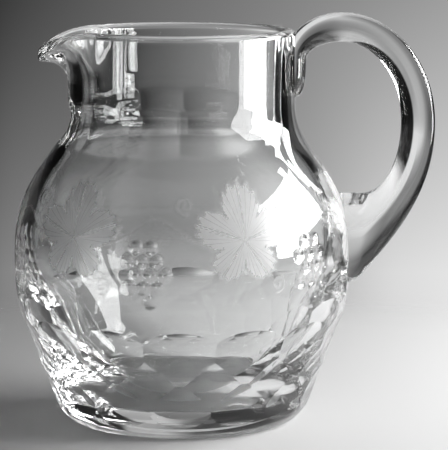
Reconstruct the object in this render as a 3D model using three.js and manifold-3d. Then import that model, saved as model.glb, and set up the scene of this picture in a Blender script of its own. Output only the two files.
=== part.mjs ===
// Cut glass pitcher: a thick blown body with a pulled spout, and a solid glass handle laid on it.
// Millimetres, +Z up. The origin is the middle of the flat base.
// The spout points to -X and the handle to +X.

import * as THREE from 'three';
import { mergeVertices } from 'three/addons/utils/BufferGeometryUtils.js';
import Module from 'manifold-3d';

const wasm = await Module();
wasm.setup();

const { clamp, degToRad, lerp } = THREE.MathUtils;

// Body, outside, from the base up
const BASE_RADIUS = 51;
const HEEL_RADIUS = 62.5;
const HEEL_HEIGHT = 10.5;
const CONE_TILT = degToRad(25);
const BELLY_RADIUS = 81.4;
const BELLY_HEIGHT = 82;
const SHOULDER_RISE = 71.5;
const NECK_RADIUS = 55;
const NECK_LENGTH = 36.5;
const NECK_FOOT = BELLY_HEIGHT + SHOULDER_RISE;
const RIM_HEIGHT = NECK_FOOT + NECK_LENGTH;

// How far each curve of the outside runs on along its end tangents
const HEEL_PULL = 5;
const CONE_PULL_AT_HEEL = 40;
const CONE_PULL_AT_BELLY = 24;
const SHOULDER_PULL_AT_BELLY = 42;
const SHOULDER_PULL_AT_NECK = 25;

// Body, inside
const NECK_WALL = 7;
const RIM_ROUND = 2;
const BELLY_WALL = 8.2;
const BOWL_RISE = 4;
const FLOOR_THICKNESS = 15;
const FLOOR_RADIUS = 36;
const BOWL_PULL_AT_BELLY = 30;
const BOWL_PULL_AT_FLOOR = 7;

// Spout: the neck wall bends outwards, most in the middle of the spout
const SPOUT_LENGTH = 25;
const SPOUT_BEND = degToRad(85);
const SPOUT_BEND_RADIUS = 9;
const SPOUT_REACH = 14.5;
const SPOUT_HALF_ANGLE = degToRad(41);
const SPOUT_FOOT = RIM_HEIGHT - SPOUT_LENGTH;

// Facets on the lower body, each row half a pitch round from the next.
// A wheel with a flat rim leaves each one hollow up and down, and flat across.
const FACETS_ROUND = 14;
const FACET_TOP_ROW_HEIGHT = 40.5;
const FACET_ROW_STEP = 10.5;
const FACET_ROW_DEPTHS = [3, 2.4, 2];
const FACET_WHEEL_RADIUS = 60;
const FACET_WHEEL_WIDTH = 50;

// Flutes where the neck meets the shoulder, none near the handle.
// They are hollow up and down, and low ridges part them.
const FLUTES_ROUND = 14;
const FLUTES_CUT = 9;
const FLUTE_DROP = 8;
const FLUTE_DEPTH = 1.9;
const FLUTE_HALF_LENGTH = 10.6;
const FLUTE_RIDGE = 0.35;

// Handle, upper end: a tongue pressed on the neck, and the crown of the arch
const TONGUE_LENGTH = 17.5;
const TONGUE_THICKNESS = 5;
const TONGUE_WIDTH = 20;
const CROWN_OUT = 22;
const CROWN_RISE = 8;
const CROWN_THICKNESS = 14.2;
const CROWN_WIDTH = 17;
const CROWN_DROP = 15;
const TONGUE_HEAD = RIM_HEIGHT - CROWN_DROP;
const TONGUE_FOOT = TONGUE_HEAD - TONGUE_LENGTH;

// Handle, lower end: the grip, and the pad on the belly
const GRIP_OVERHANG = 40.8;
const GRIP_DROP = 45;
const GRIP_THICKNESS = 16.2;
const GRIP_WIDTH = 18;
const PAD_ABOVE_BELLY = 28.5;
const PAD_BELOW_BELLY = 15;
const PAD_STANDOFF = 9.5;
const PAD_TOE = 6;
const PAD_WIDTH = 30;
const PAD_TOP = BELLY_HEIGHT + PAD_ABOVE_BELLY;
const PAD_BOTTOM = BELLY_HEIGHT - PAD_BELOW_BELLY;

// How full the handle's section is, from 2 for an oval up to a rounded box
const OUTER_FULLNESS = 5;
const INNER_FULLNESS = 1.8;

// How far the raw handle runs into the wall before it is trimmed, and the gap left there
const HANDLE_ROOT = 5;
const JOINT_GAP = 0.3;

// Smoothness
const STEPS_PER_FACET = 4;
const STEPS_ROUND = STEPS_PER_FACET * FACETS_ROUND;
const CURVE_STEPS = 8;
const SHOULDER_STEPS = 20;
const NECK_STEPS = 8;
const LIP_STEPS = 3;
const HANDLE_SIDES = 24;
const RAIL_STEPS = 8;
const FACET_WHEEL_STEPS = 60;
const SAME_POINT = 1e-4;

// Look of the clear glass
const GLASS_OPACITY = 0.35;

// How far a curve's pull goes towards its corner: a quarter of an ellipse, and a fuller bend
const QUARTER_ROUND = 0.5523;
const FULL_BEND = 0.72;

/** A point of a profile or of the handle's side view. */
function at(x, z) {
  return new THREE.Vector2(x, z);
}

/** Points of a cubic curve with its two end tangents given as offsets from its ends. */
function curvePoints(start, leave, arrive, end, steps = CURVE_STEPS) {
  const first = start.clone().add(leave);
  const last = end.clone().add(arrive);
  return new THREE.CubicBezierCurve(start, first, last, end).getPoints(steps);
}

/** Points of a straight line. */
function linePoints(start, end, steps) {
  return new THREE.LineCurve(start, end).getPoints(steps);
}

/** Outside of the body, from the edge of the base up to the foot of the straight neck. */
function outsidePoints() {
  const base = at(BASE_RADIUS, 0);
  const heel = at(HEEL_RADIUS, HEEL_HEIGHT);
  const belly = at(BELLY_RADIUS, BELLY_HEIGHT);
  const neck = at(NECK_RADIUS, NECK_FOOT);
  const cone = at(Math.sin(CONE_TILT), Math.cos(CONE_TILT));
  const shoulderLeave = at(0, SHOULDER_PULL_AT_BELLY);
  const shoulderArrive = at(0, -SHOULDER_PULL_AT_NECK);
  return [
    ...curvePoints(base, at(HEEL_PULL, 0), cone.clone().multiplyScalar(-HEEL_PULL), heel),
    ...curvePoints(heel, cone.clone().multiplyScalar(CONE_PULL_AT_HEEL), at(0, -CONE_PULL_AT_BELLY), belly),
    ...curvePoints(belly, shoulderLeave, shoulderArrive, neck, SHOULDER_STEPS),
  ];
}

/** Inside of the body, from the foot of the straight neck down to the flat of the floor. */
function insidePoints() {
  const neck = at(NECK_RADIUS - NECK_WALL, NECK_FOOT);
  const belly = at(BELLY_RADIUS - BELLY_WALL, BELLY_HEIGHT + BOWL_RISE);
  const floor = at(FLOOR_RADIUS, FLOOR_THICKNESS);
  const shoulderArrive = at(0, SHOULDER_PULL_AT_BELLY - BOWL_RISE);
  return [
    ...curvePoints(neck, at(0, -SHOULDER_PULL_AT_NECK), shoulderArrive, belly),
    ...curvePoints(belly, at(0, -BOWL_PULL_AT_BELLY), at(BOWL_PULL_AT_FLOOR, 0), floor),
  ];
}

/** The straight neck and its flat lip with round edges, up the outside and down the inside. */
function neckPoints() {
  const lip = RIM_HEIGHT - RIM_ROUND;
  const inner = NECK_RADIUS - NECK_WALL;
  const edge = (x, from, to) => new THREE.EllipseCurve(x, lip, RIM_ROUND, RIM_ROUND, from, to);
  return [
    ...linePoints(at(NECK_RADIUS, NECK_FOOT), at(NECK_RADIUS, lip), NECK_STEPS),
    ...edge(NECK_RADIUS - RIM_ROUND, 0, Math.PI / 2).getPoints(LIP_STEPS),
    ...edge(inner + RIM_ROUND, Math.PI / 2, Math.PI).getPoints(LIP_STEPS),
    ...linePoints(at(inner, lip), at(inner, NECK_FOOT), NECK_STEPS),
  ];
}

/** Leaves out points that repeat the one before them. */
function withoutRepeats(points) {
  return points.filter((point, i) => i === 0 || point.distanceTo(points[i - 1]) > SAME_POINT);
}

/** Outside radius and tilt of the uncut body at a height. */
function outsideAt(height) {
  const points = withoutRepeats([...outsidePoints(), at(NECK_RADIUS, RIM_HEIGHT)]);
  const upper = points.findIndex((point, i) => i > 0 && point.y >= height);
  const [low, high] = [points[upper - 1], points[upper]];
  const share = (height - low.y) / (high.y - low.y);
  return { radius: lerp(low.x, high.x, share), tilt: Math.atan2(high.x - low.x, high.y - low.y) };
}

/** Closed geometry turned from a profile that starts and ends on the axis. */
function turned(points) {
  return new THREE.LatheGeometry(withoutRepeats(points), STEPS_ROUND).rotateX(Math.PI / 2);
}

/** Solid of a closed geometry, with its shared vertices merged and its empty faces left out. */
function solidOf(geometry) {
  const bare = geometry.clone();
  bare.deleteAttribute('normal');
  bare.deleteAttribute('uv');
  const merged = mergeVertices(bare, SAME_POINT);
  const index = Array.from(merged.index.array);
  const faces = [];
  for (let i = 0; i < index.length; i += 3) {
    const [a, b, c] = index.slice(i, i + 3);
    if (a !== b && b !== c && c !== a) faces.push(a, b, c);
  }
  const vertProperties = new Float32Array(merged.attributes.position.array);
  return new wasm.Manifold(new wasm.Mesh({ numProp: 3, vertProperties, triVerts: new Uint32Array(faces) }));
}

/** Geometry of a solid. */
function geometryOf(solid) {
  const mesh = solid.getMesh();
  const geometry = new THREE.BufferGeometry();
  geometry.setAttribute('position', new THREE.BufferAttribute(mesh.vertProperties, 3));
  geometry.setIndex(new THREE.BufferAttribute(mesh.triVerts, 1));
  geometry.computeVertexNormals();
  return geometry;
}

/** Carries a point of the straight neck round the bend of the spout. */
function bendForSpout(point) {
  const angle = Math.abs(Math.atan2(point.y, -point.x));
  const rise = point.z - SPOUT_FOOT;
  if (rise <= 0 || angle >= SPOUT_HALF_ANGLE) return;
  const pull = (1 + Math.cos((Math.PI * angle) / SPOUT_HALF_ANGLE)) / 2;
  const bend = SPOUT_BEND * pull;
  const bentLength = SPOUT_BEND * SPOUT_BEND_RADIUS;
  const bentRadius = bentLength / bend;
  const bentReach = SPOUT_BEND_RADIUS * (1 - Math.cos(SPOUT_BEND));
  const lipLength = SPOUT_LENGTH - bentLength;
  const pulledLength = (SPOUT_REACH - bentReach) / Math.sin(SPOUT_BEND);
  const turn = bend * Math.min(rise / bentLength, 1);
  const straight = Math.max(rise - bentLength, 0) * lerp(1, pulledLength / lipLength, pull);
  const radius = Math.hypot(point.x, point.y);
  const inset = radius - NECK_RADIUS;
  const out = bentRadius * (1 - Math.cos(turn)) + straight * Math.sin(turn) + inset * Math.cos(turn);
  const up = bentRadius * Math.sin(turn) + straight * Math.cos(turn) - inset * Math.sin(turn);
  const scale = (NECK_RADIUS + out) / radius;
  point.set(point.x * scale, point.y * scale, SPOUT_FOOT + up);
}

/** Moves every vertex of a geometry by a function that changes a point in place. */
function reshaped(geometry, move) {
  const positions = geometry.attributes.position;
  const point = new THREE.Vector3();
  for (let i = 0; i < positions.count; i += 1) {
    point.fromBufferAttribute(positions, i);
    move(point);
    positions.setXYZ(i, point.x, point.y, point.z);
  }
  return geometry;
}

/** A grinding wheel set into the uncut body, given with its axis along Y and its middle at the origin. */
function wheelCut(wheel, wheelRadius, height, depth, azimuth) {
  const { radius, tilt } = outsideAt(height);
  return solidOf(
    wheel
      .clone()
      .translate(wheelRadius - depth, 0, 0)
      .rotateY(tilt)
      .translate(radius, 0, height)
      .rotateZ(azimuth),
  );
}

/** All facets of the lower body, with one facet of the top row facing -Y. */
function facetCuts() {
  const wheel = new THREE.CylinderGeometry(
    FACET_WHEEL_RADIUS,
    FACET_WHEEL_RADIUS,
    FACET_WHEEL_WIDTH,
    FACET_WHEEL_STEPS,
  );
  const pitch = (2 * Math.PI) / FACETS_ROUND;
  return FACET_ROW_DEPTHS.flatMap((depth, row) =>
    Array.from({ length: FACETS_ROUND }, (_, i) => {
      const height = FACET_TOP_ROW_HEIGHT - row * FACET_ROW_STEP;
      const azimuth = (i + (row % 2) / 2) * pitch - Math.PI / 2;
      return wheelCut(wheel, FACET_WHEEL_RADIUS, height, depth, azimuth);
    }),
  );
}

/** Moves a point of the outside in where one of the flutes beside the spout is cut over it. */
function hollowForFlute(point) {
  const along = (point.z - NECK_FOOT + FLUTE_DROP) / FLUTE_HALF_LENGTH;
  if (Math.abs(along) >= 1) return;
  const outside = outsideAt(point.z);
  const radius = Math.hypot(point.x, point.y);
  if (outside.radius - radius > NECK_WALL / 2) return;
  const turn = (Math.atan2(point.y, -point.x) * FLUTES_ROUND) / (2 * Math.PI);
  const last = (FLUTES_CUT - 1) / 2;
  const aside = 2 * (turn - clamp(Math.round(turn), -last, last));
  const depth = FLUTE_DEPTH * (1 - along * along) - FLUTE_RIDGE * aside * aside;
  if (depth <= 0) return;
  const scale = 1 - (depth * Math.cos(outside.tilt)) / radius;
  point.set(point.x * scale, point.y * scale, point.z + depth * Math.sin(outside.tilt));
}

/** The blown body with its spout, facets and flutes. */
function bodySolid() {
  const [start, end] = [at(0, 0), at(0, FLOOR_THICKNESS)];
  const profile = [start, ...outsidePoints(), ...neckPoints(), ...insidePoints(), end];
  const fluted = reshaped(turned(profile), hollowForFlute);
  const blank = solidOf(reshaped(fluted, bendForSpout));
  return facetCuts().reduce((solid, cut) => solid.subtract(cut), blank);
}

/** The space the body takes up, filled and grown by the joint gap, which the handle is trimmed to. */
function bodySpace() {
  const outside = withoutRepeats([...outsidePoints(), at(NECK_RADIUS, RIM_HEIGHT)]);
  const grown = outside.map((point, i) => {
    const before = outside[Math.max(i - 1, 0)];
    const after = outside[Math.min(i + 1, outside.length - 1)];
    const along = after.clone().sub(before).normalize();
    return at(point.x + along.y * JOINT_GAP, point.y - along.x * JOINT_GAP);
  });
  const top = RIM_HEIGHT + JOINT_GAP;
  return solidOf(turned([at(0, -JOINT_GAP), ...grown, at(NECK_RADIUS + JOINT_GAP, top), at(0, top)]));
}

/** A side line of the handle: a start point, then bends, each towards a corner and on to its end. */
function railPoints(start, bends) {
  const rail = new THREE.Path();
  rail.moveTo(start.x, start.y);
  let from = start;
  for (const [corner, end, fullness = QUARTER_ROUND] of bends) {
    const first = from.clone().lerp(corner, fullness);
    const last = end.clone().lerp(corner, fullness);
    rail.bezierCurveTo(first.x, first.y, last.x, last.y, end.x, end.y);
    from = end;
  }
  return rail.getPoints(RAIL_STEPS);
}

/** The handle's outer and inner side lines, from the foot of the tongue to the pad on the belly. */
function handleRails() {
  const neckRoot = NECK_RADIUS - HANDLE_ROOT;
  const tongue = NECK_RADIUS + TONGUE_THICKNESS;
  const crown = at(NECK_RADIUS + CROWN_OUT, RIM_HEIGHT + CROWN_RISE);
  const underCrown = crown.y - CROWN_THICKNESS;
  const grip = at(BELLY_RADIUS + GRIP_OVERHANG, RIM_HEIGHT - GRIP_DROP);
  const gripInside = grip.x - GRIP_THICKNESS;
  const padTopRadius = outsideAt(PAD_TOP).radius;
  const padBottomRadius = outsideAt(PAD_BOTTOM).radius;
  const padFace = (padTopRadius + padBottomRadius) / 2 + PAD_STANDOFF;
  const outer = railPoints(at(neckRoot, TONGUE_FOOT), [
    [at(neckRoot, (TONGUE_FOOT + TONGUE_HEAD) / 2), at(neckRoot, TONGUE_HEAD)],
    [at(neckRoot, crown.y), crown],
    [at(grip.x, crown.y), grip],
    [at(grip.x, PAD_TOP), at(padFace, PAD_BOTTOM + PAD_TOE), FULL_BEND],
    [at(padFace - PAD_TOE / 2, PAD_BOTTOM), at(padBottomRadius - HANDLE_ROOT, PAD_BOTTOM)],
  ]);
  const inner = railPoints(at(NECK_RADIUS, TONGUE_FOOT), [
    [at(tongue, TONGUE_FOOT), at(tongue, TONGUE_HEAD), FULL_BEND],
    [at(tongue, underCrown), at(crown.x, underCrown)],
    [at(gripInside, underCrown), at(gripInside, grip.y)],
    [at(gripInside, PAD_TOP), at(padFace, PAD_TOP)],
    [at((padFace + padTopRadius) / 2, PAD_TOP), at(padTopRadius - HANDLE_ROOT, PAD_TOP)],
  ]);
  return { outer, inner };
}

/** Width of the handle at each point of its side lines. */
function handleWidths() {
  const widths = [TONGUE_WIDTH, TONGUE_WIDTH, CROWN_WIDTH, GRIP_WIDTH, PAD_WIDTH, PAD_WIDTH];
  return Array.from({ length: (widths.length - 1) * RAIL_STEPS + 1 }, (_, i) => {
    const stretch = Math.min(Math.floor(i / RAIL_STEPS), widths.length - 2);
    const share = THREE.MathUtils.smoothstep(i / RAIL_STEPS - stretch, 0, 1);
    return lerp(widths[stretch], widths[stretch + 1], share);
  });
}

/** A coordinate of a round section carried to the same place in a fuller one. */
function fuller(coordinate, fullness) {
  return Math.sign(coordinate) * Math.abs(coordinate) ** (2 / fullness);
}

/** The solid glass handle: a rod with rounded sections between its side lines, trimmed to the body. */
function handleSolid() {
  const { outer, inner } = handleRails();
  const widths = handleWidths();
  const last = outer.length - 1;
  const rod = new THREE.CylinderGeometry(1, 1, last, HANDLE_SIDES, last);
  const raw = reshaped(rod, (point) => {
    const ring = Math.round(point.y + last / 2);
    const middle = outer[ring].clone().add(inner[ring]).multiplyScalar(0.5);
    const half = outer[ring].clone().sub(inner[ring]).multiplyScalar(0.5);
    const fullness = point.x > 0 ? OUTER_FULLNESS : INNER_FULLNESS;
    const out = fuller(point.x, fullness);
    const side = (fuller(point.z, fullness) * widths[ring]) / 2;
    point.set(middle.x + half.x * out, side, middle.y + half.y * out);
  });
  return solidOf(raw).subtract(bodySpace());
}

/** A named mesh of clear glass. */
function glass(name, solid, color, roughness) {
  const finish = { color, roughness, metalness: 0, transparent: true, opacity: GLASS_OPACITY };
  const mesh = new THREE.Mesh(geometryOf(solid), new THREE.MeshStandardMaterial(finish));
  mesh.name = name;
  return mesh;
}

const pitcher = new THREE.Group();
pitcher.add(glass('body', bodySolid(), 0xdcdfe0, 0.04));
pitcher.add(glass('handle', handleSolid(), 0xd4d7d8, 0.03));

export default pitcher;
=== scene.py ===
"""Looks of a heavy cut glass pitcher: an engraved body and a solid handle laid on it.

Metres, +Z up. The origin is the middle of the flat base, the spout points to -X and the handle to +X.
"""

import logging
import math
from bisect import bisect_left
from collections.abc import Callable, Iterable
from dataclasses import dataclass, field
from enum import Enum

import bmesh
import bpy
from mathutils import Matrix, Vector
from mathutils.bvhtree import BVHTree
from mathutils.geometry import interpolate_bezier


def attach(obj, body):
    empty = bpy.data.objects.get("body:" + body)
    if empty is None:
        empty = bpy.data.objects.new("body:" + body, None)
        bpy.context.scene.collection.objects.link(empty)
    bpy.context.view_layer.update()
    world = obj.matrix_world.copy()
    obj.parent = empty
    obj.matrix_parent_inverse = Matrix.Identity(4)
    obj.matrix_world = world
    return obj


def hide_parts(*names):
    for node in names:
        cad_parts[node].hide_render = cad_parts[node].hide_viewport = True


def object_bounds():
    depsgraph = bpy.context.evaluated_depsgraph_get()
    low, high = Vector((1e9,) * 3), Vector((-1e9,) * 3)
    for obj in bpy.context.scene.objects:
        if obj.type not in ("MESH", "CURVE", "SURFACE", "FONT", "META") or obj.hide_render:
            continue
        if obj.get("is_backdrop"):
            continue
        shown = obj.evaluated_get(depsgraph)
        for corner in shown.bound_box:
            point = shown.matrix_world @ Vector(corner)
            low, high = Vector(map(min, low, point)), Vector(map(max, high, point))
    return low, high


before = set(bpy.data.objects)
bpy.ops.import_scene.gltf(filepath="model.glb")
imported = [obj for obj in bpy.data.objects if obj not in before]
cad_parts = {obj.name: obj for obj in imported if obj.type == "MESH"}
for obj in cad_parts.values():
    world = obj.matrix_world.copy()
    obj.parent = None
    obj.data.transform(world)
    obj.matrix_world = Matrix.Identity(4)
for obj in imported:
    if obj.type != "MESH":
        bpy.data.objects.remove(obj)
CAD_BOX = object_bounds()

log = logging.getLogger("pitcher")

MM = 0.001
BODY = "root"
FROST = "frost"
LEAF = "leaf_place"
MERGE_DISTANCE = 0.002 * MM
SLOPE_STEP = 0.5 * MM


def smooth_step(low: float, high: float, value: float) -> float:
    """Rises smoothly from 0 at low to 1 at high."""
    share = min(max((value - low) / (high - low), 0.0), 1.0)
    return share * share * (3.0 - 2.0 * share)


def lerp(start: float, end: float, share: float) -> float:
    """The value that lies a share of the way from start to end."""
    return start + (end - start) * share


def curve(start: Vector, leave: Vector, arrive: Vector, end: Vector, steps: int) -> list[Vector]:
    """Points of a cubic curve.

    Args:
        start: First point.
        leave: Offset from the first point along its tangent.
        arrive: Offset from the last point along its tangent.
        end: Last point.
        steps: Number of stretches.

    Returns:
        steps + 1 points, both ends among them.
    """
    return interpolate_bezier(start, start + leave, end + arrive, end, steps + 1)


class Signal:
    """A value socket of a node tree. Python operators on it add Math nodes."""

    def __init__(self, maker: "NodeMaker", socket: bpy.types.NodeSocket) -> None:
        """Wraps one output socket."""
        self.maker = maker
        self.socket = socket

    def math(self, operation: str, *others: "Signal | float") -> "Signal":
        """A Math node on this value and others."""
        return self.maker.math(operation, self, *others)

    def __add__(self, other: "Signal | float") -> "Signal":
        """Sum."""
        return self.math("ADD", other)

    __radd__ = __add__

    def __sub__(self, other: "Signal | float") -> "Signal":
        """Difference."""
        return self.math("SUBTRACT", other)

    def __rsub__(self, other: float) -> "Signal":
        """Difference from a number."""
        return self.maker.math("SUBTRACT", other, self)

    def __mul__(self, other: "Signal | float") -> "Signal":
        """Product."""
        return self.math("MULTIPLY", other)

    __rmul__ = __mul__

    def __pow__(self, power: "Signal | float") -> "Signal":
        """Power."""
        return self.math("POWER", power)

    def __abs__(self) -> "Signal":
        """Value without its sign."""
        return self.math("ABSOLUTE")


class NodeMaker:
    """Adds nodes to the tree of one material or world."""

    def __init__(self, owner: bpy.types.Material | bpy.types.World) -> None:
        """Empties the owner's node tree and keeps it.

        Args:
            owner: The material or world that gets the nodes.
        """
        owner.use_nodes = True
        self.tree = owner.node_tree
        self.tree.nodes.clear()

    def node(self, kind: str, settings: dict | None = None, sockets: dict | None = None) -> bpy.types.Node:
        """Makes one node.

        Args:
            kind: Type name of the node.
            settings: Properties of the node, set first.
            sockets: Values or signals of its inputs, by name or number.

        Returns:
            The node.
        """
        made = self.tree.nodes.new(kind)
        for name, value in (settings or {}).items():
            setattr(made, name, value)
        for name, value in (sockets or {}).items():
            if isinstance(value, Signal):
                self.tree.links.new(value.socket, made.inputs[name])
            else:
                made.inputs[name].default_value = value
        return made

    def signal(self, node: bpy.types.Node, output: str | int = 0) -> Signal:
        """One output of a node as a signal."""
        return Signal(self, node.outputs[output])

    def math(self, operation: str, *values: Signal | float) -> Signal:
        """A Math node on the given values."""
        sockets = dict(enumerate(values))
        return self.signal(self.node("ShaderNodeMath", {"operation": operation}, sockets))

    def clamp(self, value: Signal) -> Signal:
        """The value, held between 0 and 1."""
        return self.math("MINIMUM", self.math("MAXIMUM", value, 0.0), 1.0)

    def rise(self, value: Signal, low: float, high: float) -> Signal:
        """Adds a smooth step.

        Args:
            value: What the step follows.
            low: Value at which the step starts from 0.
            high: Value at which it reaches 1.

        Returns:
            The step.
        """
        settings = {"interpolation_type": "SMOOTHSTEP"}
        sockets = {"Value": value, "From Min": low, "From Max": high}
        return self.signal(self.node("ShaderNodeMapRange", settings, sockets))

    def split(self, vector: bpy.types.NodeSocket) -> list[Signal]:
        """The X, Y and Z of a vector socket."""
        parts = self.node("ShaderNodeSeparateXYZ", sockets={0: Signal(self, vector)})
        return [Signal(self, socket) for socket in parts.outputs]

    def mix(self, share: Signal, first: bpy.types.Node, second: bpy.types.Node) -> bpy.types.Node:
        """A shader that goes from the first to the second as the share goes from 0 to 1."""
        sockets = {0: share, 1: self.signal(first), 2: self.signal(second)}
        return self.node("ShaderNodeMixShader", sockets=sockets)

    def finish(self, surface: bpy.types.Node, kind: str = "ShaderNodeOutputMaterial") -> None:
        """Links a shader to the output node."""
        self.node(kind, sockets={"Surface": self.signal(surface)})


@dataclass(frozen=True)
class LeadCrystal:
    """Clear, heavy, polished glass, frosted where an attribute of the mesh says so."""

    name: str
    tint: tuple[float, float, float, float] = (0.97, 0.975, 0.975, 1.0)
    refraction: float = 1.55
    frost_roughness: float = 0.4
    matt_tone: tuple[float, float, float, float] = (0.9, 0.9, 0.9, 1.0)
    matt_roughness: float = 0.8
    matt_share: float = 0.45
    matt_transmission: float = 0.5
    strokes: tuple[float, float] = (47.0, 89.0)
    stroke_share: float = 0.33

    def material(self) -> bpy.types.Material:
        """Makes the material.

        Returns:
            A material whose roughness follows the frost of the engraving.
        """
        made = bpy.data.materials.new(self.name)
        maker = NodeMaker(made)
        frost = maker.signal(maker.node("ShaderNodeAttribute", {"attribute_name": FROST}), "Fac")
        place = maker.node("ShaderNodeAttribute", {"attribute_name": LEAF}).outputs["Vector"]
        along, up, leaf = maker.split(place)
        angle = maker.math("ARCTAN2", along, up)
        coarse, fine = [maker.math("SINE", angle * strokes) for strokes in self.strokes]
        polished = (coarse * fine * 0.5 + 0.5) * leaf
        frost = frost * (1 - polished * self.stroke_share)
        clear = {
            "Base Color": self.tint,
            "Roughness": frost * self.frost_roughness,
            "IOR": self.refraction,
            "Transmission Weight": 1.0,
        }
        matt = {
            "Base Color": self.matt_tone,
            "Roughness": self.matt_roughness,
            "IOR": self.refraction,
            "Transmission Weight": self.matt_transmission,
        }
        shaders = [maker.node("ShaderNodeBsdfPrincipled", sockets=sockets) for sockets in (clear, matt)]
        maker.finish(maker.mix(frost * self.matt_share, *shaders))
        return made


@dataclass(frozen=True)
class FusedJoint:
    """The faces where handle and body are one glass: light goes straight on."""

    name: str = "fused_joint"

    def material(self) -> bpy.types.Material:
        """Makes the material.

        Returns:
            A material that lets light pass without bending.
        """
        made = bpy.data.materials.new(self.name)
        maker = NodeMaker(made)
        sockets = {
            "Base Color": (1.0, 1.0, 1.0, 1.0),
            "Roughness": 0.0,
            "IOR": 1.0,
            "Transmission Weight": 1.0,
        }
        maker.finish(maker.node("ShaderNodeBsdfPrincipled", sockets=sockets))
        return made


class Finish(Enum):
    """Places of the finishes in a piece's list of materials."""

    CLEAR = 0
    FUSED = 1


def piece_from(
    shape: bmesh.types.BMesh, name: str, materials: Iterable[bpy.types.Material] = ()
) -> bpy.types.Object:
    """Turns a shape into an object at the origin and frees the shape.

    Args:
        shape: The finished shape.
        name: Name of the object.
        materials: Its materials, in order.

    Returns:
        The object, linked to the scene.
    """
    mesh = bpy.data.meshes.new(name)
    shape.to_mesh(mesh)
    shape.free()
    for material in materials:
        mesh.materials.append(material)
    made = bpy.data.objects.new(name, mesh)
    bpy.context.scene.collection.objects.link(made)
    return made


def turned(line: list[Vector], steps: int) -> bmesh.types.BMesh:
    """Turns a profile round the Z axis.

    Args:
        line: Points in the XZ plane, the first and the last on the axis.
        steps: Number of steps round.

    Returns:
        A closed shape with its faces pointing out.
    """
    shape = bmesh.new()
    points = [shape.verts.new(point) for point in line]
    edges = [shape.edges.new(pair) for pair in zip(points, points[1:])]
    bmesh.ops.spin(
        shape, geom=points + edges, axis=Vector((0, 0, 1)), cent=line[0], angle=2 * math.pi,
        steps=steps, use_merge=True,
    )
    bmesh.ops.remove_doubles(shape, verts=shape.verts, dist=MERGE_DISTANCE)
    bmesh.ops.recalc_face_normals(shape, faces=shape.faces)
    return shape


def cut_away(piece: bpy.types.Object, cutter: bpy.types.Object) -> None:
    """Cuts one object out of another and removes the cutter.

    Args:
        piece: The object that is cut.
        cutter: A closed object whose parts don't overlap.
    """
    modifier = piece.modifiers.new("cut", "BOOLEAN")
    modifier.operation = "DIFFERENCE"
    modifier.solver = "MANIFOLD"
    modifier.object = cutter
    graph = bpy.context.evaluated_depsgraph_get()
    result = bpy.data.meshes.new_from_object(piece.evaluated_get(graph))
    piece.modifiers.clear()
    old = piece.data
    piece.data = result
    name = old.name
    bpy.data.meshes.remove(old)
    result.name = name
    used = cutter.data
    bpy.data.objects.remove(cutter)
    bpy.data.meshes.remove(used)


def polish(shape: bmesh.types.BMesh, crease: float) -> None:
    """Cleans a cut shape and marks its creases.

    Args:
        shape: The shape.
        crease: Faces that meet at a larger angle than this keep a sharp edge.
    """
    bmesh.ops.remove_doubles(shape, verts=shape.verts, dist=MERGE_DISTANCE)
    bmesh.ops.dissolve_degenerate(shape, edges=shape.edges, dist=MERGE_DISTANCE)
    for face in shape.faces:
        face.smooth = True
    for edge in shape.edges:
        edge.smooth = len(edge.link_faces) == 2 and edge.calc_face_angle() < crease


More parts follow.
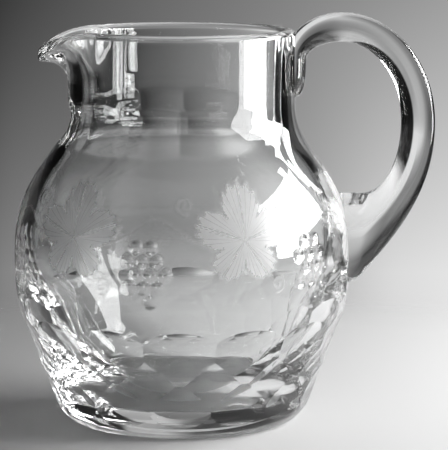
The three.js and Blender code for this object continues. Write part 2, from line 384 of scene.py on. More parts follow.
@dataclass(frozen=True)
class VineBand:
    """A traditional grapevine engraved round the belly: leaves, bunches, a stem and curls."""

    repeats: int = 6
    middle: float = math.radians(-8)
    half_spread: float = math.radians(105)
    leaf_azimuth: float = math.radians(-38)
    leaf_height: float = 98 * MM
    leaf_radius: float = 18.5 * MM
    leaf_lobes: int = 5
    lobe_share: float = 0.32
    lobe_fullness: float = 0.55
    tip_share: float = 0.1
    leaf_teeth: int = 35
    tooth_share: float = 0.04
    leaf_depth: float = 0.06 * MM
    leaf_slope: float = 3.5 * MM
    vein_width: float = 0.9 * MM
    vein_core: float = 0.3
    vein_depth: float = 0.03 * MM
    vein_frost: float = 0.75
    grape_radius: float = 3.6 * MM
    grape_depth: float = 0.55 * MM
    grape_pitch: float = 6.7 * MM
    row_share: float = 0.92
    grape_rows: tuple[tuple[int, float], ...] = ((2, -0.8), (3, -0.9), (3, -0.3), (3, -0.8), (1, -0.3))
    bunch_drop: float = 15.4 * MM
    grape_frost: float = 0.2
    stem_rise: float = 5 * MM
    stem_sway: float = 5 * MM
    line_width: float = 0.6 * MM
    line_core: float = 0.4
    line_depth: float = 0.05 * MM
    line_frost: float = 0.5
    curls: tuple[tuple[float, float, float], ...] = ((0.665, 16 * MM, 1.0), (0.2, -21 * MM, -1.0))
    curl_pitch: float = 2.4 * MM
    curl_turns: tuple[float, float] = (0.25, 1.8)

    def leaf(self, along: float, up: float) -> tuple[float, float]:
        """Shape of one leaf.

        Args:
            along: Distance from its middle round the belly.
            up: Distance above its middle.

        Returns:
            Depth and frost there.
        """
        reach = math.hypot(along, up)
        angle = math.atan2(along, up)
        swell = abs(math.cos(self.leaf_lobes * angle / 2)) ** self.lobe_fullness
        edge = self.leaf_radius * (1 + self.lobe_share * (2 * swell - 1))
        edge *= 1 + self.tip_share * math.cos(angle)
        edge *= 1 + self.tooth_share * math.cos(self.leaf_teeth * angle)
        inside = edge - reach
        if inside <= 0:
            return 0.0, 0.0
        soft = smooth_step(0, self.leaf_slope, inside)
        lobe = 2 * math.pi / self.leaf_lobes
        aside = reach * abs(math.sin(angle - lobe * round(angle / lobe)))
        vein = soft * (1 - smooth_step(self.vein_width * self.vein_core, self.vein_width, aside))
        return self.leaf_depth * soft + self.vein_depth * vein, soft * lerp(1.0, self.vein_frost, vein)

    def bunch(self, along: float, up: float) -> tuple[float, float]:
        """Shape of one bunch of grapes.

        Args:
            along: Distance from its middle round the belly.
            up: Distance above its middle.

        Returns:
            Depth and frost there.
        """
        middle = (len(self.grape_rows) - 1) / 2
        nearest = self.grape_pitch
        for row, (count, shift) in enumerate(self.grape_rows):
            beside_up = up - (middle - row) * self.grape_pitch * self.row_share
            if abs(beside_up) > self.grape_radius:
                continue
            for place in range(count):
                beside = along - (place - (count - 1) / 2 + shift) * self.grape_pitch
                nearest = min(nearest, math.hypot(beside, beside_up))
        share = nearest / self.grape_radius
        if share >= 1:
            return 0.0, 0.0
        return self.grape_depth * (1 - share * share), self.grape_frost

    def line(self, aside: float) -> tuple[float, float]:
        """Depth and frost of an engraved line at a distance from its middle."""
        share = 1 - smooth_step(self.line_width * self.line_core, self.line_width, aside)
        return self.line_depth * share, self.line_frost * share

    def curl(self, along: float, up: float) -> tuple[float, float]:
        """Shape of one curled tendril.

        Args:
            along: Distance from its middle round the belly.
            up: Distance above its middle.

        Returns:
            Depth and frost there.
        """
        reach = math.hypot(along, up) / self.curl_pitch
        angle = math.atan2(up, along) / (2 * math.pi)
        turn = round(reach - angle)
        first, last = self.curl_turns
        if not first < angle + turn < last:
            return 0.0, 0.0
        return self.line(abs(reach - angle - turn) * self.curl_pitch)

    def covers(self, azimuth: float) -> bool:
        """True where the vine runs: round the front, with the back left bare."""
        return abs((azimuth - self.middle + math.pi) % (2 * math.pi) - math.pi) < self.half_spread

    def leaf_place(self, azimuth: float, height: float, radius: float) -> tuple[float, float]:
        """Finds the nearest leaf.

        Args:
            azimuth: Angle from -Y towards +X.
            height: Height above the base.
            radius: Radius of the body there.

        Returns:
            Distances along and up from the middle of the leaf.
        """
        period = 2 * math.pi / self.repeats
        share = ((azimuth - self.leaf_azimuth) / period + 0.5) % 1.0 - 0.5
        return share * period * radius, height - self.leaf_height

    def at(self, azimuth: float, height: float, radius: float) -> tuple[float, float]:
        """Depth and frost of the engraving.

        Args:
            azimuth: Angle from -Y towards +X.
            height: Height above the base.
            radius: Radius of the body there.

        Returns:
            How deep the glass is cut, and how matt it is from 0 to 1.
        """
        along, up = self.leaf_place(azimuth, height, radius)
        width = 2 * math.pi / self.repeats * radius
        share = along / width
        halves = (share, share - math.copysign(1.0, share))
        cuts = [self.leaf(along, up)]
        cuts += [self.bunch((half - 0.5) * width, up + self.bunch_drop) for half in halves]
        sway = self.stem_rise + self.stem_sway * math.cos(4 * math.pi * share)
        cuts.append(self.line(abs(up - sway)))
        for place, rise, turn in self.curls:
            cuts += [self.curl((half - place) * width * turn, up - rise) for half in halves]
        return max(cuts, key=lambda cut: cut[0])


@dataclass
class PitcherBody:
    """The blown body: bellied bowl, neck and spout, cut and engraved."""

    base_radius: float = 51 * MM
    heel_radius: float = 62.5 * MM
    heel_height: float = 10.5 * MM
    cone_tilt: float = math.radians(25)
    belly_radius: float = 81.4 * MM
    belly_height: float = 82 * MM
    neck_radius: float = 55 * MM
    neck_foot: float = 153.5 * MM
    rim_height: float = 190 * MM
    heel_pull: float = 5 * MM
    cone_pulls: tuple[float, float] = (40 * MM, 24 * MM)
    shoulder_pulls: tuple[float, float] = (42 * MM, 25 * MM)
    neck_wall: float = 7 * MM
    rim_round: float = 3.2 * MM
    belly_wall: float = 8.2 * MM
    bowl_rise: float = 4 * MM
    floor_thickness: float = 15 * MM
    floor_radius: float = 36 * MM
    bowl_pulls: tuple[float, float] = (30 * MM, 7 * MM)
    spout_length: float = 25 * MM
    spout_bend: float = math.radians(85)
    spout_bend_radius: float = 9 * MM
    spout_reach: float = 14.5 * MM
    spout_half_angle: float = math.radians(41)
    facets_round: int = 14
    facet_top_row: float = 40.5 * MM
    facet_row_step: float = 10.5 * MM
    facet_depths: tuple[float, ...] = (3 * MM, 2.4 * MM, 2 * MM)
    facet_wheel: float = 60 * MM
    facet_width: float = 50 * MM
    facet_wheel_sides: int = 300
    flutes_round: int = 14
    flutes_cut: int = 9
    flute_drop: float = 8 * MM
    flute_depth: float = 1.9 * MM
    flute_half_length: float = 10.6 * MM
    flute_ridge: float = 0.35 * MM
    flute_edge: float = 0.5 * MM
    flute_zone: tuple[float, float] = (130 * MM, 162 * MM)
    band: tuple[float, float] = (65 * MM, 125 * MM)
    steps_round: int = 224
    outside_steps: int = 36
    neck_steps: int = 24
    inside_steps: int = 26
    lookup_steps: int = 200
    vine_cuts: int = 2
    flute_cuts: int = 1
    crease: float = math.radians(9)
    vine: VineBand = field(default_factory=VineBand)

    def __post_init__(self) -> None:
        """Works out the outside line once, finely, for looking up radii."""
        fine = sorted(self.outside(self.lookup_steps), key=lambda point: point.z)
        self.line_heights = [point.z for point in fine]
        self.line_radii = [point.x for point in fine]

    def outside(self, fineness: int) -> list[Vector]:
        """Outside from the edge of the base up to the foot of the straight neck.

        Args:
            fineness: Number of stretches of each long curve.

        Returns:
            Points in the XZ plane.
        """
        base = Vector((self.base_radius, 0, 0))
        heel = Vector((self.heel_radius, 0, self.heel_height))
        belly = Vector((self.belly_radius, 0, self.belly_height))
        neck = Vector((self.neck_radius, 0, self.neck_foot))
        cone = Vector((math.sin(self.cone_tilt), 0, math.cos(self.cone_tilt)))
        up = Vector((0, 0, 1))
        return (
            curve(base, Vector((self.heel_pull, 0, 0)), -self.heel_pull * cone, heel, fineness // 2)
            + curve(heel, self.cone_pulls[0] * cone, -self.cone_pulls[1] * up, belly, fineness)[1:]
            + curve(belly, self.shoulder_pulls[0] * up, -self.shoulder_pulls[1] * up, neck, fineness)[1:]
        )

    def inside(self, fineness: int) -> list[Vector]:
        """Inside from the foot of the straight neck down to the flat of the floor.

        Args:
            fineness: Number of stretches of each curve.

        Returns:
            Points in the XZ plane.
        """
        neck = Vector((self.neck_radius - self.neck_wall, 0, self.neck_foot))
        belly = Vector((self.belly_radius - self.belly_wall, 0, self.belly_height + self.bowl_rise))
        floor = Vector((self.floor_radius, 0, self.floor_thickness))
        up = Vector((0, 0, 1))
        out = Vector((1, 0, 0))
        belly_pull = self.shoulder_pulls[0] - self.bowl_rise
        return (
            curve(neck, -self.shoulder_pulls[1] * up, belly_pull * up, belly, fineness)
            + curve(belly, -self.bowl_pulls[0] * up, self.bowl_pulls[1] * out, floor, fineness)[1:]
        )

    def neck(self, fineness: int) -> list[Vector]:
        """Up the outside of the straight neck, over the rounded edges of the rim and down its inside.

        Args:
            fineness: Number of stretches of each line and each rounded edge.

        Returns:
            Points in the XZ plane.
        """
        top = self.rim_height - self.rim_round
        inside = self.neck_radius - self.neck_wall
        heights = [lerp(self.neck_foot, top, step / fineness) for step in range(1, fineness)]
        turns = [math.pi / 2 * step / fineness for step in range(fineness + 1)]
        outer = [Vector((self.neck_radius, 0, height)) for height in heights]
        inner = [Vector((inside, 0, height)) for height in reversed(heights)]
        across = [Vector((math.cos(turn), 0, math.sin(turn))) * self.rim_round for turn in turns]
        outer_edge = [Vector((self.neck_radius - self.rim_round, 0, top)) + arm for arm in across]
        inner_edge = [Vector((inside + self.rim_round, 0, top)) + Vector((-arm.x, 0, arm.z))
                      for arm in reversed(across)]
        return outer + outer_edge + inner_edge + inner

    def radius_at(self, height: float) -> float:
        """Outside radius of the uncut body.

        Args:
            height: Height above the base.

        Returns:
            The radius there.
        """
        upper = min(max(bisect_left(self.line_heights, height), 1), len(self.line_heights) - 1)
        low, high = self.line_heights[upper - 1], self.line_heights[upper]
        share = min(max((height - low) / (high - low), 0.0), 1.0)
        return lerp(self.line_radii[upper - 1], self.line_radii[upper], share)

    def slope_at(self, height: float) -> float:
        """How much the outside radius grows for each metre of height."""
        rise = self.radius_at(height + SLOPE_STEP) - self.radius_at(height - SLOPE_STEP)
        return rise / (2 * SLOPE_STEP)

    def blank(self) -> bmesh.types.BMesh:
        """The turned body before the spout is pulled and the cuts are made.

        Returns:
            A closed shape with finer faces in the engraved band.
        """
        line = [
            Vector((0, 0, 0)),
            *self.outside(self.outside_steps),
            *self.neck(self.neck_steps),
            *self.inside(self.inside_steps),
            Vector((0, 0, self.floor_thickness)),
        ]
        shape = turned(line, self.steps_round)
        self.refine(shape, self.in_vine, self.vine_cuts)
        self.refine(shape, self.in_flutes, self.flute_cuts)
        return shape

    def is_outside(self, point: Vector, zone: tuple[float, float]) -> bool:
        """Tells the outer side of the wall from the inner.

        Args:
            point: A point of the wall.
            zone: Lowest and highest height.

        Returns:
            True for a point on the outer side between the two heights.
        """
        low, high = zone
        if not low <= point.z <= high:
            return False
        return point.xy.length > self.radius_at(point.z) - self.neck_wall / 2

    def in_flutes(self, point: Vector) -> bool:
        """True for a point of the outside where the flutes are cut."""
        return self.is_outside(point, self.flute_zone)

    def in_vine(self, point: Vector) -> bool:
        """True for a point of the outside where the vine is engraved."""
        return self.is_outside(point, self.band) and self.vine.covers(math.atan2(point.x, -point.y))

    def refine(self, shape: bmesh.types.BMesh, belongs: Callable[[Vector], bool], cuts: int) -> None:
        """Divides the faces of one zone and sets the new points on the turned surface.

        Args:
            shape: The turned body.
            belongs: Tells whether a point lies in the zone.
            cuts: Number of cuts across each edge.
        """
        faces = [face for face in shape.faces if belongs(face.calc_center_median())]
        edges = list(dict.fromkeys(edge for face in faces for edge in face.edges))
        bmesh.ops.subdivide_edges(shape, edges=edges, cuts=cuts, use_grid_fill=True)
        for vert in shape.verts:
            if belongs(vert.co):
                vert.co.xy *= self.radius_at(vert.co.z) / vert.co.xy.length

    def pull_spout(self, point: Vector) -> None:
        """Carries a point of the straight neck round the bend of the spout.

        Args:
            point: The point, which is moved.
        """
        foot = self.rim_height - self.spout_length
        angle = abs(math.atan2(point.y, -point.x))
        rise = point.z - foot
        if rise <= 0 or angle >= self.spout_half_angle:
            return
        pull = (1 + math.cos(math.pi * angle / self.spout_half_angle)) / 2
        bend = self.spout_bend * pull
        bent_length = self.spout_bend * self.spout_bend_radius
        bent_radius = bent_length / bend
        bent_reach = self.spout_bend_radius * (1 - math.cos(self.spout_bend))
        pulled = (self.spout_reach - bent_reach) / math.sin(self.spout_bend)
        turn = bend * min(rise / bent_length, 1.0)
        stretch = pulled / (self.spout_length - bent_length)
        straight = max(rise - bent_length, 0.0) * lerp(1.0, stretch, pull)
        radius = point.xy.length
        inset = radius - self.neck_radius
        out = bent_radius * (1 - math.cos(turn)) + straight * math.sin(turn) + inset * math.cos(turn)
        up = bent_radius * math.sin(turn) + straight * math.cos(turn) - inset * math.sin(turn)
        point.xy *= (self.neck_radius + out) / radius
        point.z = foot + up

    def wheel_place(self, wheel: float, height: float, depth: float, azimuth: float) -> Matrix:
        """Where a grinding wheel with its axis along Y stands to cut into the uncut body.

        Args:
            wheel: Radius of the wheel.
            height: Height of the middle of the cut.
            depth: Depth of the cut.
            azimuth: Angle from +X round the axis of the body.

        Returns:
            The place of the wheel.
        """
        tilt = math.atan(self.slope_at(height))
        return (
            Matrix.Rotation(azimuth, 4, "Z")
            @ Matrix.Translation((self.radius_at(height), 0, height))
            @ Matrix.Rotation(tilt, 4, "Y")
            @ Matrix.Translation((wheel - depth, 0, 0))
        )

    def facet_wheels(self) -> Iterable[bpy.types.Object]:
        """Sets up the flat-rimmed wheels for the rows of facets.

        Returns:
            For each row two objects, each with every other wheel, so that no two wheels overlap.
        """
        pitch = 2 * math.pi / self.facets_round
        lay = Matrix.Rotation(math.pi / 2, 4, "X")
        for row, depth in enumerate(self.facet_depths):
            height = self.facet_top_row - row * self.facet_row_step
            for first in (0, 1):
                shape = bmesh.new()
                for place in range(first, self.facets_round, 2):
                    azimuth = (place + (row % 2) / 2) * pitch - math.pi / 2
                    bmesh.ops.create_cone(
                        shape, cap_ends=True, segments=self.facet_wheel_sides, radius1=self.facet_wheel,
                        radius2=self.facet_wheel, depth=self.facet_width,
                        matrix=self.wheel_place(self.facet_wheel, height, depth, azimuth) @ lay,
                    )
                yield piece_from(shape, f"facet_wheels_{row}_{first}")

    def outwards(self, point: Vector) -> Vector:
        """Direction square to the uncut body at a point of its outside."""
        level = point.xy.normalized()
        return Vector((level.x, level.y, -self.slope_at(point.z))).normalized()

    def hollow_flutes(self, shape: bmesh.types.BMesh) -> None:
        """Hollows the flutes at the foot of the neck, with edges softened by polishing.

        Args:
            shape: The turned body.
        """
        pitch = 2 * math.pi / self.flutes_round
        last = (self.flutes_cut - 1) // 2
        height = self.neck_foot - self.flute_drop
        for vert in shape.verts:
            if not self.in_flutes(vert.co):
                continue
            turn = math.atan2(vert.co.y, -vert.co.x) / pitch
            aside = 2 * (turn - min(max(round(turn), -last), last))
            along = (vert.co.z - height) / self.flute_half_length
            into = self.flute_depth * (1 - along * along) - self.flute_ridge * aside * aside
            depth = (into + math.hypot(into, self.flute_edge)) / 2
            vert.co -= self.outwards(vert.co) * depth

    def engrave(self, shape: bmesh.types.BMesh) -> None:
        """Cuts the vine into the belly and stores how matt each point is.

        Args:
            shape: The cut and polished body.
        """
        frost_layer = shape.verts.layers.float.new(FROST)
        leaf_layer = shape.verts.layers.float_vector.new(LEAF)
        for vert in shape.verts:
            if not self.in_vine(vert.co):
                continue
            azimuth = math.atan2(vert.co.x, -vert.co.y)
            radius = vert.co.xy.length
            along, up = self.vine.leaf_place(azimuth, vert.co.z, radius)
            in_leaf = 1.0 if self.vine.leaf(along, up)[1] > 0 else 0.0
            vert[leaf_layer] = (along, up, in_leaf)
            depth, vert[frost_layer] = self.vine.at(azimuth, vert.co.z, radius)
            vert.co.xy *= (radius - depth) / radius

    def build(self) -> bpy.types.Object:
        """Makes the body as one closed piece of glass.

        Returns:
            The piece, not yet dressed.
        """
        blank = self.blank()
        self.hollow_flutes(blank)
        for vert in blank.verts:
            self.pull_spout(vert.co)
        piece = piece_from(blank, "pitcher_body")
        for wheels in self.facet_wheels():
            cut_away(piece, wheels)
        shape = bmesh.new()
        shape.from_mesh(piece.data)
        polish(shape, self.crease)
        self.engrave(shape)
        shape.to_mesh(piece.data)
        shape.free()
        return piece

    def dress(self, piece: bpy.types.Object, handle: bpy.types.Object, glass: bpy.types.Material,
              joint: bpy.types.Material) -> None:
        """Gives the body its glass, and the faces under the handle the look of a fused joint.

        Args:
            piece: The body.
            handle: The handle that is fused to it.
            glass: Material of the glass.
            joint: Material of the fused faces.
        """
        piece.data.materials.clear()
        for material in (glass, joint):
            piece.data.materials.append(material)
        handle_tree = BVHTree.FromObject(handle, bpy.context.evaluated_depsgraph_get())
        for face in piece.data.polygons:
            covered = face.center.x > 0 and face.center.xy.length > self.neck_radius - MM
            if covered:
                hit = handle_tree.ray_cast(face.center, face.normal, 2 * Handle.joint_gap)
                covered = hit[0] is not None
            face.material_index = Finish.FUSED.value if covered else Finish.CLEAR.value


@dataclass
class Handle:
    """The solid rod of glass: a tongue on the neck, a crown, a grip and a pad on the belly."""

    body: PitcherBody
    tongue_length: float = 17.5 * MM
    tongue_thickness: float = 5 * MM
    tongue_width: float = 20 * MM
    crown_out: float = 22 * MM
    crown_rise: float = 8 * MM
    crown_thickness: float = 14.2 * MM
    crown_width: float = 17 * MM
    crown_drop: float = 15 * MM
    grip_overhang: float = 40.8 * MM
    grip_drop: float = 45 * MM
    grip_thickness: float = 16.2 * MM
    grip_width: float = 18 * MM
    pad_above_belly: float = 28.5 * MM
    pad_below_belly: float = 15 * MM
    pad_standoff: float = 9.5 * MM
    pad_toe: float = 6 * MM
    pad_width: float = 30 * MM
    root: float = 5 * MM
    joint_gap: float = 0.3 * MM
    quarter_round: float = 0.5523
    full_bend: float = 0.72
    steps: int = 20
    sides: int = 144
    outer_fullness: float = 5.0
    inner_fullness: float = 1.8
    crease: float = math.radians(35)

    def rail(self, start: tuple[float, float], bends: Iterable[tuple]) -> list[Vector]:
        """A side line of the handle in the XZ plane.

        Args:
            start: X and Z of its first point.
            bends: For each bend its corner, its end and, where it isn't a quarter round, its fullness.

        Returns:
            The points of all bends.
        """
        points = [Vector((start[0], 0, start[1]))]
        for corner, end, *fullness in bends:
            share = fullness[0] if fullness else self.quarter_round
            here, there = points[-1], Vector((end[0], 0, end[1]))
            towards = Vector((corner[0], 0, corner[1]))
            pulls = [(towards - tip) * share for tip in (here, there)]
            points += curve(here, *pulls, there, self.steps)[1:]
        return points

    def rails(self) -> tuple[list[Vector], list[Vector]]:
        """Works out both side lines, from the foot of the tongue to the pad on the belly.

        Returns:
            The points of the outer line and of the inner line.
        """
        neck, rim = self.body.neck_radius, self.body.rim_height
        neck_root = neck - self.root
        head = rim - self.crown_drop
        foot = head - self.tongue_length
        tongue = neck + self.tongue_thickness
        crown_x, crown_z = neck + self.crown_out, rim + self.crown_rise
        under = crown_z - self.crown_thickness
        grip_x, grip_z = self.body.belly_radius + self.grip_overhang, rim - self.grip_drop
        grip_in = grip_x - self.grip_thickness
        pad_top = self.body.belly_height + self.pad_above_belly
        pad_bottom = self.body.belly_height - self.pad_below_belly
        top_radius = self.body.radius_at(pad_top)
        bottom_radius = self.body.radius_at(pad_bottom)
        pad = (top_radius + bottom_radius) / 2 + self.pad_standoff
        outer = self.rail((neck_root, foot), [
            ((neck_root, (foot + head) / 2), (neck_root, head)),
            ((neck_root, crown_z), (crown_x, crown_z)),
            ((grip_x, crown_z), (grip_x, grip_z)),
            ((grip_x, pad_top), (pad, pad_bottom + self.pad_toe), self.full_bend),
            ((pad - self.pad_toe / 2, pad_bottom), (bottom_radius - self.root, pad_bottom)),
        ])
        inner = self.rail((neck, foot), [
            ((tongue, foot), (tongue, head), self.full_bend),
            ((tongue, under), (crown_x, under)),
            ((grip_in, under), (grip_in, grip_z)),
            ((grip_in, pad_top), (pad, pad_top)),
            (((pad + top_radius) / 2, pad_top), (top_radius - self.root, pad_top)),
        ])
        return outer, inner

    def width_at(self, ring: int) -> float:
        """Width of the handle.

        Args:
            ring: Number of a point of the side lines.

        Returns:
            The width there.
        """
        widths = (self.tongue_width, self.tongue_width, self.crown_width, self.grip_width,
                  self.pad_width, self.pad_width)
        stretch = min(ring // self.steps, len(widths) - 2)
        share = smooth_step(0, 1, ring / self.steps - stretch)
        return lerp(widths[stretch], widths[stretch + 1], share)

    def ring_place(self, outer: Vector, inner: Vector, width: float) -> Matrix:
        """Carries a unit circle in the XY plane to one section.

        Args:
            outer: Point of the outer side line.
            inner: Point of the inner side line.
            width: Width of the handle there.

        Returns:
            The place of the section.
        """
        middle, half = (outer + inner) / 2, (outer - inner) / 2
        side = Vector((0, width / 2, 0))
        across = half.cross(side).normalized() * MM
        return Matrix((
            (half.x, side.x, across.x, middle.x),
            (half.y, side.y, across.y, middle.y),
            (half.z, side.z, across.z, middle.z),
            (0, 0, 0, 1),
        ))

    def flatten_sides(self, point: Vector) -> None:
        """Turns a point of the unit circle into one of the section, which has flat sides.

        Args:
            point: The point, which is moved.
        """
        fullness = self.outer_fullness if point.x > 0 else self.inner_fullness
        for axis in (0, 1):
            point[axis] = math.copysign(abs(point[axis]) ** (2 / fullness), point[axis])

    def body_space(self) -> bpy.types.Object:
        """Makes the space that the handle is trimmed to.

        Returns:
            The filled body, grown by the joint gap.
        """
        body = self.body
        line = [*body.outside(body.outside_steps), Vector((body.neck_radius, 0, body.rim_height))]
        grown = []
        for place, point in enumerate(line):
            before, after = line[max(place - 1, 0)], line[min(place + 1, len(line) - 1)]
            along = (after - before).normalized()
            grown.append(point + Vector((along.z, 0, -along.x)) * self.joint_gap)
        top = body.rim_height + self.joint_gap
        edge = Vector((body.neck_radius + self.joint_gap, 0, top))
        line = [Vector((0, 0, -self.joint_gap)), *grown, edge, Vector((0, 0, top))]
        shape = turned(line, body.steps_round)
        for face in shape.faces:
            face.material_index = Finish.FUSED.value
        return piece_from(shape, "body_space")

    def build(self) -> bpy.types.Object:
        """Makes the handle as one closed piece of glass, trimmed to the body.

        Returns:
            The piece, not yet dressed.
        """
        outer, inner = self.rails()
        places = [
            self.ring_place(out, into, self.width_at(ring))
            for ring, (out, into) in enumerate(zip(outer, inner))
        ]
        shape = bmesh.new()
        start = bmesh.ops.create_circle(shape, cap_ends=True, segments=self.sides, radius=1.0)["verts"]
        for vert in start:
            self.flatten_sides(vert.co)
        bmesh.ops.transform(shape, matrix=places[0], verts=start)
        edges = list(dict.fromkeys(edge for vert in start for edge in vert.link_edges))
        for here, there in zip(places, places[1:]):
            grown = bmesh.ops.extrude_edge_only(shape, edges=edges)["geom"]
            verts = [part for part in grown if isinstance(part, bmesh.types.BMVert)]
            ring = set(verts)
            edges = [part for part in grown if isinstance(part, bmesh.types.BMEdge)]
            edges = [edge for edge in edges if ring.issuperset(edge.verts)]
            bmesh.ops.transform(shape, matrix=there @ here.inverted(), verts=verts)
        bmesh.ops.contextual_create(shape, geom=edges)
        bmesh.ops.recalc_face_normals(shape, faces=shape.faces)
        piece = piece_from(shape, "pitcher_handle")
        for _ in Finish:
            piece.data.materials.append(None)
        cut_away(piece, self.body_space())
        shape = bmesh.new()
        shape.from_mesh(piece.data)
        polish(shape, self.crease)
        shape.to_mesh(piece.data)
        shape.free()
        return piece

    def dress(self, piece: bpy.types.Object, glass: bpy.types.Material, joint: bpy.types.Material) -> None:
        """Gives the handle its glass, and its trimmed faces the look of a fused joint.

        Args:
            piece: The handle.
            glass: Material of the glass.
            joint: Material of the fused faces.
        """
        kinds = [face.material_index for face in piece.data.polygons]
        piece.data.materials.clear()
        for material in (glass, joint):
            piece.data.materials.append(material)
        piece.data.polygons.foreach_set("material_index", kinds)


@dataclass(frozen=True)
class PaperFloor:
    """Studio paper with painted light and shade: its tone is painted lighter to the right, the side of the
    softboxes, and in front, and darker to the left and behind the pitcher, and it fades into the backdrop
    at its edge.
    """

    name: str = "studio_paper_painted_light"
    # Tones of the painted shade and the painted light on the paper, and where the one turns into the other.
    painted_shade_tone: float = 0.26
    painted_light_tone: float = 0.52
    backward: float = 0.35
    painted_light_span: tuple[float, float] = (-0.24, 0.13)
    fade: tuple[float, float] = (0.26, 0.4)

    def material(self) -> bpy.types.Material:
        """Makes the material of the floor.

        Returns:
            A matt material that is clear past the edge of the paper.
        """
        made = bpy.data.materials.new(self.name)
        maker = NodeMaker(made)
        place = maker.node("ShaderNodeTexCoord").outputs["Object"]
        x, y, _ = maker.split(place)
        reach = (x * x + y * y) ** 0.5
        # Painted light and shade: the tone rises from painted shade at the left and behind to painted light
        # at the right and in front.
        across = x - y * self.backward
        dark, light = [
            maker.node("ShaderNodeBsdfDiffuse", sockets={"Color": (tone, tone, tone, 1.0)})
            for tone in (self.painted_shade_tone, self.painted_light_tone)
        ]
        paper = maker.mix(maker.rise(across, *self.painted_light_span), dark, light)
        clear = maker.node("ShaderNodeBsdfTransparent")
        maker.finish(maker.mix(maker.rise(reach, *self.fade), paper, clear))
        return made


@dataclass(frozen=True)
class Softbox:
    """A large, even lamp that faces the pitcher."""

    name: str
    slide: float
    rise: float
    width: float
    height: float
    roll: float = 0.0
    azimuth: float = math.radians(80)
    radiance: float = 16.0
    distance: float = 0.7

    def build(self) -> None:
        """Stands the lamp on its side of the pitcher, hidden from the camera."""
        data = bpy.data.lights.new(self.name, "AREA")
        data.shape = "RECTANGLE"
        data.size = self.width
        data.size_y = self.height
        data.energy = self.radiance * math.pi * self.width * self.height
        lamp = bpy.data.objects.new(self.name, data)
        side, front = math.sin(self.azimuth), -math.cos(self.azimuth)
        lamp.location = (
            side * self.distance - front * self.slide,
            front * self.distance + side * self.slide,
            self.rise,
        )
        lamp.rotation_euler = (math.pi / 2, -self.roll, self.azimuth)
        lamp.visible_camera = False
        bpy.context.scene.collection.objects.link(lamp)


@dataclass(frozen=True)
class Backdrop:
    """Grey backdrop, lighter to the right and below, with dark flags at both sides of the pitcher.

    Angles are in degrees: azimuth from +Y towards +X, and dip below the horizon.
    """

    name: str = "studio"
    base_tone: float = 0.22
    right_tone: float = 0.4
    low_tone: float = 0.27
    high_tone: float = 0.12
    tone_power: float = 2.2
    right_slope: float = 0.1
    right_power: float = 0.7
    round_share: float = 0.7
    round_span: tuple[float, float] = (20.0, 45.0)
    low_start: float = 3.2
    low_slope: float = 0.17
    high_span: tuple[float, float] = (-14.0, -4.0)
    deep_middle: float = -0.5
    deep_span: tuple[float, float] = (1.5, 4.5)
    deep_share: float = 0.55
    flag_middle: float = 3.0
    flag_span: tuple[float, float] = (14.0, 18.0)
    flag_top: tuple[float, float] = (-60.0, -45.0)
    flag_share: float = 0.985
    room_span: tuple[float, float] = (115.0, 135.0)
    room_share: float = 0.2
    fill: float = 0.2

    def grey(self, maker: NodeMaker, azimuth: Signal, dip: Signal) -> Signal:
        """Paints the grey of the backdrop, a little deeper low down behind the pitcher.

        Args:
            maker: Adds the nodes.
            azimuth: Azimuth of the direction.
            dip: Dip of the direction.

        Returns:
            The brightness.
        """
        right = maker.clamp(azimuth * self.right_slope + 0.5) ** self.right_power
        right = right + (self.round_share - right) * maker.rise(abs(azimuth), *self.round_span)
        deep = 1 - maker.rise(abs(azimuth - self.deep_middle), *self.deep_span)
        low = maker.clamp((dip - self.low_start) * self.low_slope) * (1 - deep * self.deep_share)
        high = 1 - maker.rise(dip, *self.high_span)
        tone = self.base_tone + right * self.right_tone + low * self.low_tone + high * self.high_tone
        return tone ** self.tone_power

    def flags(self, maker: NodeMaker, azimuth: Signal, dip: Signal) -> Signal:
        """Sets the dark flags beside the pitcher and the dim room in front of it.

        Args:
            maker: Adds the nodes.
            azimuth: Azimuth of the direction.
            dip: Dip of the direction.

        Returns:
            How dark the direction is, from 0 to 1.
        """
        room = maker.rise(abs(azimuth), *self.room_span) * self.room_share
        aside = maker.rise(abs(azimuth - self.flag_middle), *self.flag_span) * (1 - room)
        return aside * maker.rise(dip, *self.flag_top) * self.flag_share

    def build(self) -> None:
        """Paints the world. The backdrop shows in the glass, and matt things get an even fill light."""
        world = bpy.data.worlds.new(self.name)
        bpy.context.scene.world = world
        maker = NodeMaker(world)
        x, y, z = maker.split(maker.node("ShaderNodeTexCoord").outputs["Generated"])
        azimuth = maker.math("ARCTAN2", x, y) * math.degrees(1)
        dip = maker.math("ARCSINE", z) * -math.degrees(1)
        path = maker.node("ShaderNodeLightPath")
        camera, glossy, through = [
            maker.signal(path, f"Is {kind} Ray") for kind in ("Camera", "Glossy", "Transmission")
        ]
        shown = maker.math("MAXIMUM", camera, maker.math("MAXIMUM", glossy, through))
        flags = self.flags(maker, azimuth, dip) * (1 - camera)
        seen = self.grey(maker, azimuth, dip) * (1 - flags)
        strength = self.fill + (seen - self.fill) * shown
        light = maker.node("ShaderNodeBackground", sockets={"Color": strength, "Strength": 1.0})
        maker.finish(light, "ShaderNodeOutputWorld")


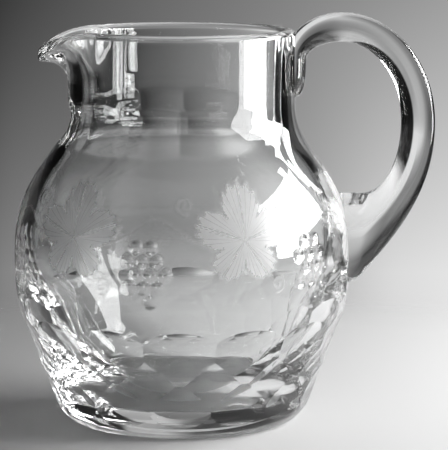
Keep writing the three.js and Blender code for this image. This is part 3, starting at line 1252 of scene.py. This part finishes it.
@dataclass
class Studio:
    """Camera, floor, backdrop and the softboxes at the right."""

    camera_place: tuple[float, float, float] = (0.02039, -1.2619, 0.2738)
    camera_pitch: float = math.radians(8.081)
    lens: float = 209.7
    sensor: float = 36.0
    floor_drop: float = 0.2 * MM
    floor_radius: float = 0.45
    floor_sides: int = 96
    paper: PaperFloor = field(default_factory=PaperFloor)
    backdrop: Backdrop = field(default_factory=Backdrop)
    softboxes: tuple[Softbox, ...] = (
        Softbox("side_softbox", slide=-0.03, rise=0.17, width=0.35, height=0.22),
        Softbox("high_softbox", slide=0.267, rise=0.38, width=0.97, height=0.34, roll=math.radians(13)),
        Softbox("far_softbox", slide=0.52, rise=0.585, width=0.4, height=0.15),
    )
    bounces: int = 32
    glossy_bounces: int = 24

    def add_camera(self) -> None:
        """Sets the camera at the viewing angle of the photograph."""
        data = bpy.data.cameras.new("camera")
        data.lens = self.lens
        data.sensor_width = self.sensor
        camera = bpy.data.objects.new("camera", data)
        camera.location = self.camera_place
        camera.rotation_euler = (math.pi / 2 - self.camera_pitch, 0, 0)
        bpy.context.scene.collection.objects.link(camera)
        bpy.context.scene.camera = camera

    def add_floor(self) -> None:
        """Lays the round sheet of studio paper just under the base."""
        shape = bmesh.new()
        low = Matrix.Translation((0, 0, -self.floor_drop))
        bmesh.ops.create_circle(
            shape, cap_ends=True, segments=self.floor_sides, radius=self.floor_radius, matrix=low,
        )
        floor = piece_from(shape, "studio_floor", [self.paper.material()])
        floor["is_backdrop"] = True

    def add_softboxes(self) -> None:
        """Sets up the lamps."""
        for softbox in self.softboxes:
            softbox.build()

    def set_light_paths(self) -> None:
        """Lets light pass many surfaces of glass."""
        scene = bpy.context.scene
        scene.view_settings.view_transform = "Standard"
        scene.cycles.max_bounces = self.bounces
        scene.cycles.transmission_bounces = self.bounces
        scene.cycles.glossy_bounces = self.glossy_bounces

    def build(self) -> None:
        """Sets up the whole studio."""
        self.add_camera()
        self.add_floor()
        self.add_softboxes()
        self.backdrop.build()
        self.set_light_paths()


def save_sizes() -> None:
    """Works out the box of the solids and the box of the dressed object."""
    boxes = {"cad": CAD_BOX, "visual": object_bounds()}
    rows = {name: [list(corner) for corner in box] for name, box in boxes.items()}


def main() -> None:
    """Builds the studio, then the body and the handle, and reports each piece."""
    logging.basicConfig(level=logging.INFO, format="%(name)s: %(message)s")
    Studio().build()
    body = PitcherBody()
    handle = Handle(body)
    joint = FusedJoint().material()
    body_piece, handle_piece = body.build(), handle.build()
    handle.dress(handle_piece, LeadCrystal("handle_crystal").material(), joint)
    body.dress(body_piece, handle_piece, LeadCrystal("engraved_crystal").material(), joint)
    for piece, node, slot in ((body_piece, "body", "body_glass"), (handle_piece, "handle", "handle_glass")):
        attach(piece, BODY)
        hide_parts(node)
        log.info("%s: %d faces in place of %s", piece.name, len(piece.data.polygons), node)
    save_sizes()


if __name__ == "__main__":
    main()
